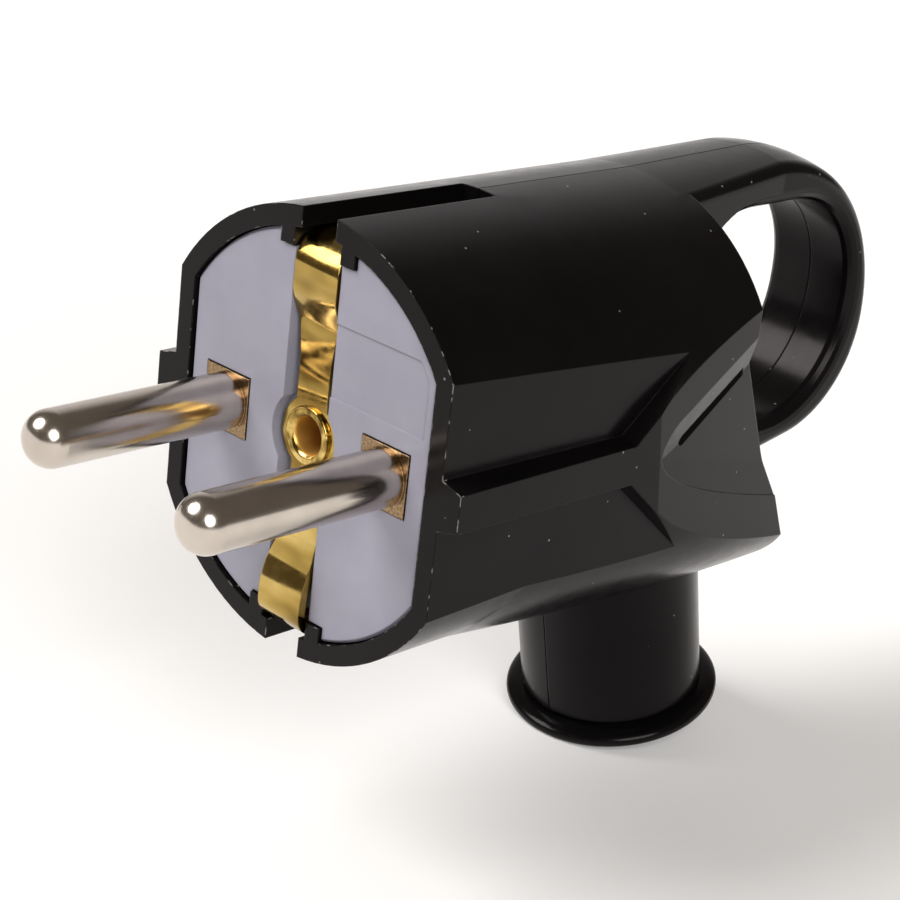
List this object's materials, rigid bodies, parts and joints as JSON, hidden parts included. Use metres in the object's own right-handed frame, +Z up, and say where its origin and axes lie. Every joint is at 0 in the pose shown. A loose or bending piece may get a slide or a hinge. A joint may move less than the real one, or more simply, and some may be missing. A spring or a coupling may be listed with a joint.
{
  "type": "angled plug",
  "caption": "Earthed two-pin mains plug with a barrel body, finger scoops, a pull ring behind it and a cable tube that leaves at the bottom through a flanged bush.",
  "frame": {"origin": "middle of the contact face, half way between the two pins, on the plane of the housing's front rim", "axes": "-Y along the pins towards the socket, +X to the right seen from the socket side's front, +Z up; the cable tube points down and leans back"},
  "size_m": [0.0364, 0.0892, 0.0558],
  "materials": {
    "housing_black": "gloss black",
    "carrier_grey": "satin lavender grey",
    "pin_nickel": "bright nickel plate",
    "earth_brass": "bright rolled brass",
    "screw_steel": "zinc plated",
    "clamp_grey": "satin lavender grey",
    "bush_black": "gloss black"
  },
  "bodies": {
    "root": {"housing_right": "housing_black", "housing_left": "housing_black", "contact_carrier": "carrier_grey", "pin_right": "pin_nickel", "pin_left": "pin_nickel", "earth_strip": "earth_brass", "earth_rivet": "earth_brass", "earth_terminal": "earth_brass", "earth_washer": "screw_steel", "earth_terminal_screw": "screw_steel", "pin_washers": "screw_steel", "pin_terminal_screws": "screw_steel", "housing_screws": "screw_steel", "cord_clamp": "clamp_grey", "cord_clamp_screws": "screw_steel", "cable_bush": "bush_black"}
  },
  "joints": []
}
